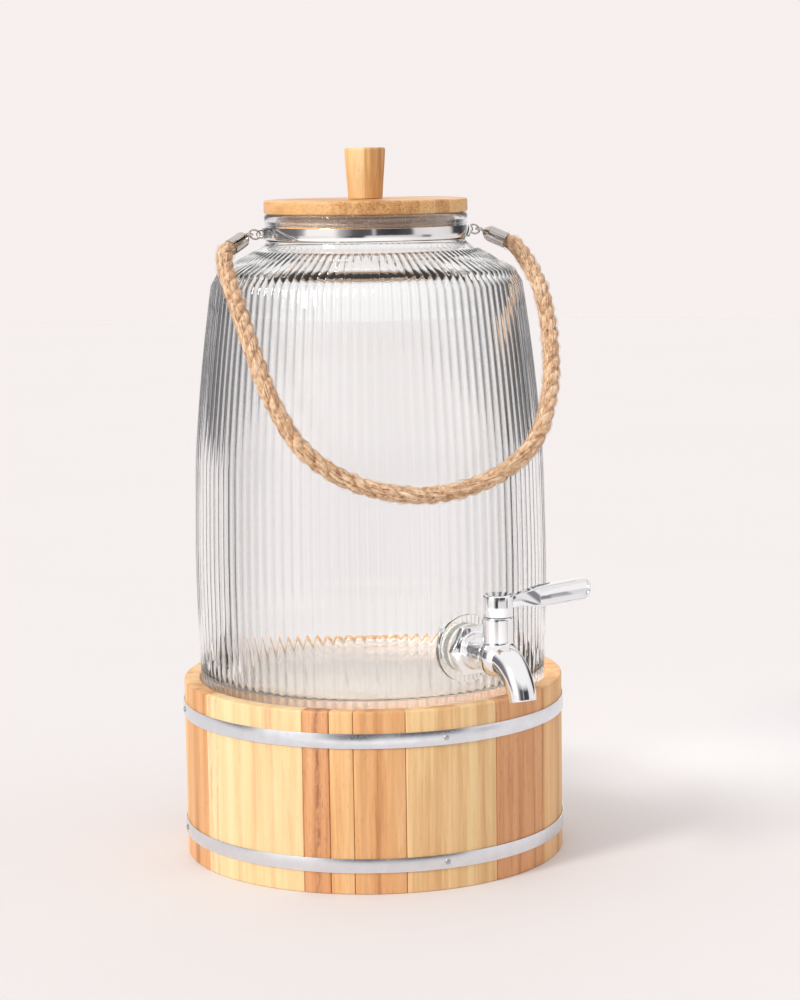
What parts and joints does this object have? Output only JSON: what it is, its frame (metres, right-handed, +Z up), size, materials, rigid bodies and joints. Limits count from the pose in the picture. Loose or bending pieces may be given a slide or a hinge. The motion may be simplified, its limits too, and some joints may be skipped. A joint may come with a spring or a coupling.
{
  "type": "countertop water dispenser",
  "caption": "Ribbed glass drink jar on a staved wooden stand with metal hoops, a lever tap, a lift-off bamboo lid with a knob and a swinging rope handle.",
  "frame": {"origin": "middle of the dispenser's footprint box at table level, cord excluded; the jar's upright axis is 26 mm behind it", "axes": "+Z up, -Y the way the tap points, +X to the right of someone behind the jar looking along the tap's back, where the closed lever points"},
  "size_m": [0.2302, 0.2824, 0.4187],
  "materials": {
    "wood_honey": "oiled solid wood, honey tone, straight grain up the stave",
    "wood_light": "oiled solid wood, light tone",
    "wood_brown": "oiled solid wood, brown tone",
    "wood_amber": "oiled solid wood, amber tone",
    "shelf_wood": "sanded, unfinished",
    "galvanised_steel": "bright galvanised strip, satin",
    "nail_steel": "satin",
    "clear_glass": "clear pressed glass with upright ribs",
    "chrome": "mirror polished",
    "silicone": "translucent silicone",
    "machined_steel": "turned, satin",
    "black_rubber": "matte",
    "bamboo": "sanded and oiled laminated bamboo",
    "polished_steel": "polished sheet and wire",
    "jute_rope": "three-strand twisted jute, slightly hairy"
  },
  "bodies": {
    "body": {"stave_01": "wood_light", "stave_02": "wood_brown", "stave_03": "wood_amber", "stave_04": "wood_honey", "stave_05": "wood_light", "stave_06": "wood_brown", "stave_07": "wood_amber", "stave_08": "wood_honey", "stave_09": "wood_light", "stave_10": "wood_brown", "stave_11": "wood_amber", "stave_12": "wood_honey", "stave_13": "wood_light", "stave_14": "wood_brown", "stave_15": "wood_amber", "stave_16": "wood_honey", "shelf_left": "shelf_wood", "shelf_middle": "shelf_wood", "shelf_right": "shelf_wood", "hoop_upper": "galvanised_steel", "hoop_lower": "galvanised_steel", "nail_upper_1": "nail_steel", "nail_upper_2": "nail_steel", "nail_upper_3": "nail_steel", "nail_upper_4": "nail_steel", "nail_lower_1": "nail_steel", "nail_lower_2": "nail_steel", "nail_lower_3": "nail_steel", "nail_lower_4": "nail_steel", "glass_jar": "clear_glass", "tap_body": "chrome", "outer_washer": "silicone", "inner_washer": "silicone", "lock_nut": "machined_steel", "gland_nut": "machined_steel", "stem_seal": "black_rubber", "neck_band": "polished_steel", "clamp_screw": "machined_steel", "clamp_nut": "machined_steel", "lug_left": "polished_steel", "lug_right": "polished_steel"},
    "lid": {"lid_disc": "bamboo", "lid_plug": "bamboo", "lid_seal": "silicone", "lid_knob": "bamboo", "knob_screw": "machined_steel"},
    "lever": {"tap_lever": "chrome", "lever_hub": "chrome", "valve_core": "machined_steel"},
    "handle": {"rope_handle": "jute_rope", "ferrule_left": "polished_steel", "ferrule_right": "polished_steel"},
    "ring_left": {"ring_left": "polished_steel"},
    "ring_right": {"ring_right": "polished_steel"}
  },
  "joints": [
    {"name": "lid_lift", "type": "slide", "parent": "body", "child": "lid", "axis": [0, 0, 1], "range_m": [0, 0.06]},
    {"name": "lever_turn", "type": "hinge", "parent": "body", "child": "lever", "pos_m": [0, -0.10965, 0.167], "axis": [0, 0, -1], "range_deg": [0, 90]},
    {"name": "handle_swing", "type": "hinge", "parent": "body", "child": "handle", "pos_m": [0, 0.02635, 0.3695], "axis": [-0.9703, 0.2419, 0], "range_deg": [0, 210]},
    {"name": "ring_left_swing", "type": "hinge", "parent": "body", "child": "ring_left", "pos_m": [0, 0.02635, 0.3695], "axis": [-0.9703, 0.2419, 0], "range_deg": [0, 105]},
    {"name": "ring_right_swing", "type": "hinge", "parent": "body", "child": "ring_right", "pos_m": [0, 0.02635, 0.3695], "axis": [-0.9703, 0.2419, 0], "range_deg": [0, 105]}
  ],
  "couplings": [
    {"joint": "ring_left_swing", "follows": "handle_swing", "ratio": 0.5},
    {"joint": "ring_right_swing", "follows": "handle_swing", "ratio": 0.5}
  ]
}
